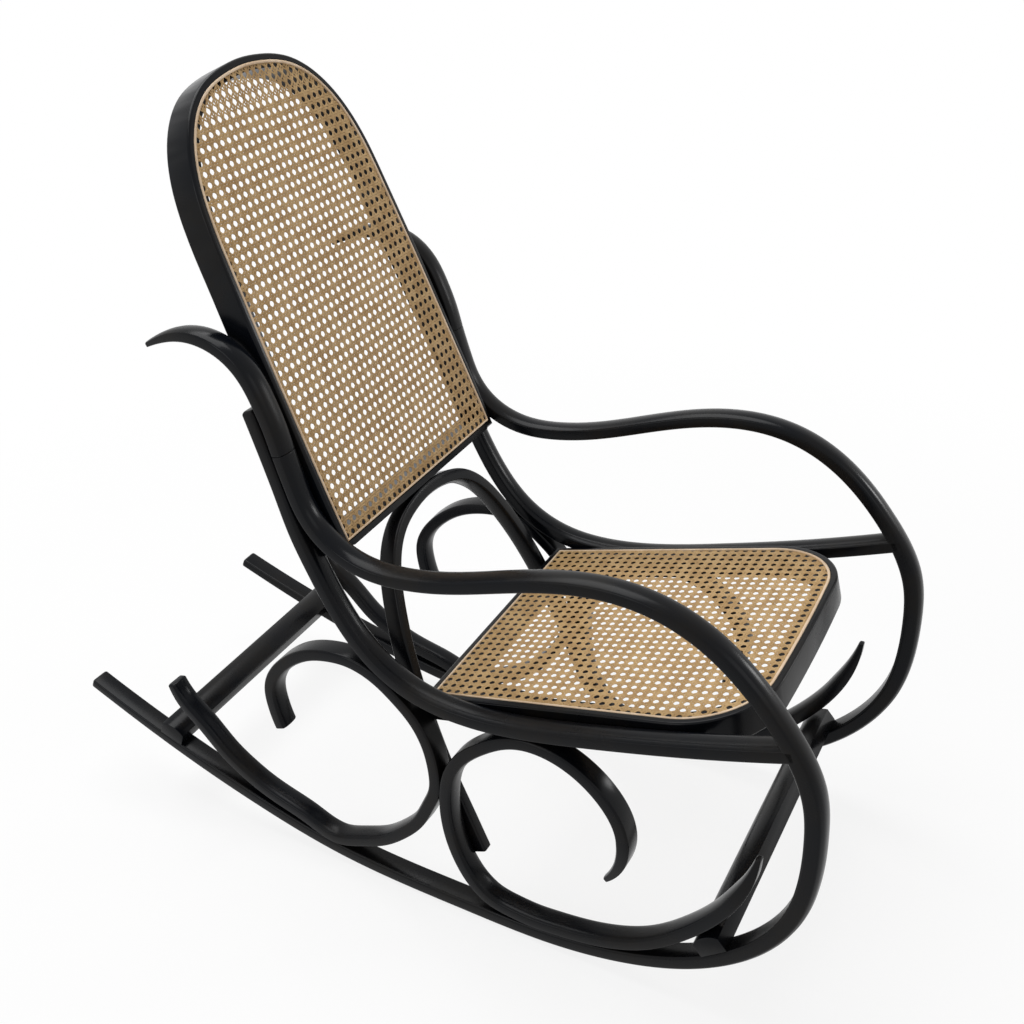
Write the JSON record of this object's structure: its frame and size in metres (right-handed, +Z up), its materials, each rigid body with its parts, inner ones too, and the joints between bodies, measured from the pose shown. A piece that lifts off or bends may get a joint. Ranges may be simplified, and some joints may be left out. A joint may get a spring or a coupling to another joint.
{
  "type": "rocking chair",
  "caption": "Bentwood rocking chair with looped arms, scrolled side frames, and a woven cane seat and tall back.",
  "frame": {"origin": "on the floor, midway across the chair and midway between the front of the loops and the tails of the rockers, at the lowest line of the rockers", "axes": "+Z up, the sitter faces -Y, X across; the chair stands at the tilt where it balances empty"},
  "size_m": [0.4972, 1.1284, 1.0613],
  "materials": {
    "black_wood": "steam-bent beech, stained black under satin lacquer",
    "cane": "natural rattan cane woven in open octagons, uncoated",
    "reed": "pale round reed pressed and glued in its groove"
  },
  "bodies": {
    "root": {"back_bottom_rail": "black_wood", "back_brace": "black_wood", "back_cane": "cane", "back_hoop": "black_wood", "back_reed": "reed", "front_scroll_left": "black_wood", "front_scroll_right": "black_wood", "front_stretcher": "black_wood", "horn_left": "black_wood", "horn_right": "black_wood", "post_rail_left": "black_wood", "post_rail_right": "black_wood", "rear_scroll_left": "black_wood", "rear_scroll_right": "black_wood", "rear_stretcher": "black_wood", "rocker_arm_left": "black_wood", "rocker_arm_right": "black_wood", "seat_cane": "cane", "seat_hoop": "black_wood", "seat_rear_rail": "black_wood", "seat_reed": "reed"}
  },
  "joints": []
}
